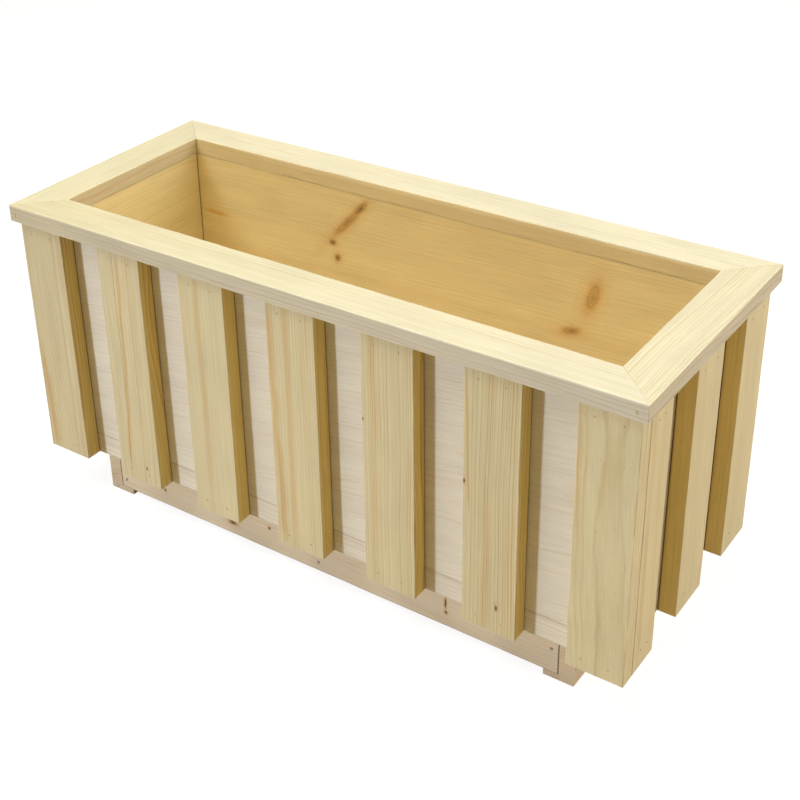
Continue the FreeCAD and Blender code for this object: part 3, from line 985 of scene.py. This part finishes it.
FLOOR_RADIUS = 12.0
FLOOR_GREY = 0.2  # how much of the planter's shadow shows on the floor
FLOOR_GLOW = 0.91  # what makes the rest of it white
DARK_INSIDE = (0.98, 0.7)  # the part under the planter where the floor is dark, as shares of the feet's reach
OPEN_OUT_TO = 0.995  # the part under the feet where it is open, as a share of their reach
OPEN_FROM = 1.01  # and from where, as a share of a foot's inner end


def make_floor(look):
    """A wide matt board: to the eye white apart from the planter's soft shadow, to the light a warm grey, and open
    from below."""
    bm = bmesh.new()
    bmesh.ops.create_circle(bm, cap_ends=True, segments=96, radius=FLOOR_RADIUS)
    floor = mesh_object("floor", bm)
    material = bpy.data.materials.new("Matt white board")
    material.use_nodes = True
    tree = material.node_tree
    tree.nodes.clear()
    bounce = add(tree, "BsdfDiffuse", {"Color": (*look.floor, 1)})
    dim = add(tree, "BsdfDiffuse", {"Color": (FLOOR_GREY, FLOOR_GREY, FLOOR_GREY, 1)})
    glow = add(tree, "Emission", {"Color": (1, 1, 1, 1), "Strength": FLOOR_GLOW})
    white = add(tree, "AddShader", {0: dim, 1: glow})
    # Inside the plinth the floor is in the dark, and under the feet it is open, so that they show from below
    foot_low, foot_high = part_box("foot_right")
    across = add(tree, "TexCoord", output="Object")
    across = calc_vector(tree, "MULTIPLY", across, (1 / foot_high.x, 1 / foot_high.y, 0))
    across = split(tree, calc_vector(tree, "ABSOLUTE", across))
    deep = calc(tree, "DIVIDE", across["Y"], DARK_INSIDE[1])
    deep = calc(tree, "MAXIMUM", deep, across["X"])
    deep = calc(tree, "GREATER_THAN", deep, DARK_INSIDE[0])
    lit = calc(tree, "MULTIPLY", seen_directly(tree), deep)
    board = add(tree, "MixShader", {0: lit, 1: bounce, 2: white})
    outside = calc(tree, "MAXIMUM", across["X"], across["Y"])
    outside = calc(tree, "GREATER_THAN", outside, OPEN_OUT_TO)
    foot = calc(tree, "GREATER_THAN", across["X"], OPEN_FROM * foot_low.x / foot_high.x)
    foot = calc(tree, "SUBTRACT", foot, outside, clamp=True)
    below = calc(tree, "MAXIMUM", add(tree, "NewGeometry", output="Backfacing"), foot)
    clear = add(tree, "BsdfTransparent")
    surface = add(tree, "MixShader", {0: below, 1: board, 2: clear})
    add(tree, "OutputMaterial", {"Surface": surface}, output=None)
    floor.data.materials.append(material)


def make_sky(look):
    """White to the eye, and a gentle warm light from all round on the planter."""
    world = bpy.data.worlds.new("Studio")
    world.use_nodes = True
    tree = world.node_tree
    tree.nodes.clear()
    light = add(tree, "Background", {"Color": (*look.ambient_colour, 1), "Strength": look.ambient})
    white = add(tree, "Background", {"Color": (1, 1, 1, 1), "Strength": 1.0})
    both = add(tree, "MixShader", {0: seen_directly(tree), 1: light, 2: white})
    add(tree, "OutputWorld", {"Surface": both}, output=None)
    bpy.context.scene.world = world


def make_lights(look):
    """A low key light from the front left, a soft one above, a soft one high on the front left and a soft one on the
    right end."""

    def lamp(name, place, aim, power, size, **settings):
        data = bpy.data.lights.new(name, "AREA")
        data.energy = power
        data.size = size
        for key, value in settings.items():
            setattr(data, key, value)
        made = bpy.data.objects.new(name, data)
        made.location = place
        made.rotation_euler = (Vector(aim) - Vector(place)).to_track_quat("-Z", "Y").to_euler()
        made.visible_camera = False
        bpy.context.scene.collection.objects.link(made)

    towards = Vector((-math.sin(look.key_turn), -math.cos(look.key_turn), 0)) * look.key_distance
    height = Vector((0, 0, look.key_height))
    middle = (0, 0, 0.3)
    right_end = (0.3, 0, 0.2)
    lamp("Key light", towards + height, height, look.key, 0.9, shape="RECTANGLE", size_y=0.6, color=look.key_colour)
    lamp("Top light", (0.15, -0.1, 3.0), middle, look.top, 1.2, color=look.top_colour)
    lamp("High light", (-1.2, -1.1, 2.4), middle, look.high, 1.1, color=look.top_colour)
    lamp("Fill light", (2.6, 0.9, 1.1), right_end, look.fill, 1.4)


def make_camera(look):
    """The camera, at the angle that the planter is usually shown from."""
    data = bpy.data.cameras.new("Camera")
    data.sensor_width = 36.0
    data.lens = look.lens
    data.shift_x, data.shift_y = look.shift
    camera = bpy.data.objects.new("Camera", data)
    turn = Matrix.Rotation(look.turn, 4, "Z")
    tilt = Matrix.Rotation(math.radians(90) - look.drop, 4, "X")
    roll = Matrix.Rotation(look.roll, 4, "Z")
    camera.matrix_world = Matrix.Translation(look.place) @ turn @ tilt @ roll
    bpy.context.scene.collection.objects.link(camera)
    bpy.context.scene.camera = camera


# ---------------------------------------------------------------- panel and registration


class PLANTER_PT_panel(Panel):
    """The planter's parts and settings"""

    bl_idname = "PLANTER_PT_panel"
    bl_label = "Window box planter"
    bl_space_type = "VIEW_3D"
    bl_region_type = "UI"
    bl_category = "Planter"

    def draw(self, context):
        layout = self.layout
        for operator in OPERATORS:
            layout.operator(operator.bl_idname)
        for name, group in SETTINGS.items():
            box = layout.box()
            box.label(text=name.replace("planter_", "").title())
            for setting in group.__annotations__:
                box.prop(getattr(context.scene, name), setting)


SETTINGS = {
    "planter_grain": PLANTER_PG_grain,
    "planter_rim": PLANTER_PG_rim,
    "planter_slats": PLANTER_PG_slats,
    "planter_walls": PLANTER_PG_walls,
    "planter_base": PLANTER_PG_base,
    "planter_stage": PLANTER_PG_stage,
}
OPERATORS = (
    PLANTER_OT_rim,
    PLANTER_OT_slats,
    PLANTER_OT_walls,
    PLANTER_OT_base,
    PLANTER_OT_nails,
    PLANTER_OT_stage,
)


def register():
    for cls in (*SETTINGS.values(), *OPERATORS, PLANTER_PT_panel):
        bpy.utils.register_class(cls)
    for name, group in SETTINGS.items():
        setattr(bpy.types.Scene, name, PointerProperty(type=group))


def unregister():
    for name in SETTINGS:
        delattr(bpy.types.Scene, name)
    for cls in (PLANTER_PT_panel, *reversed(OPERATORS), *reversed(SETTINGS.values())):
        bpy.utils.unregister_class(cls)


def main():
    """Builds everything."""
    register()
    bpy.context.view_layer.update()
    bpy.ops.planter.rim()
    bpy.ops.planter.slats()
    bpy.ops.planter.walls()
    bpy.ops.planter.base()
    bpy.ops.planter.nails()
    bpy.ops.planter.stage()


if __name__ == "__main__":
    main()
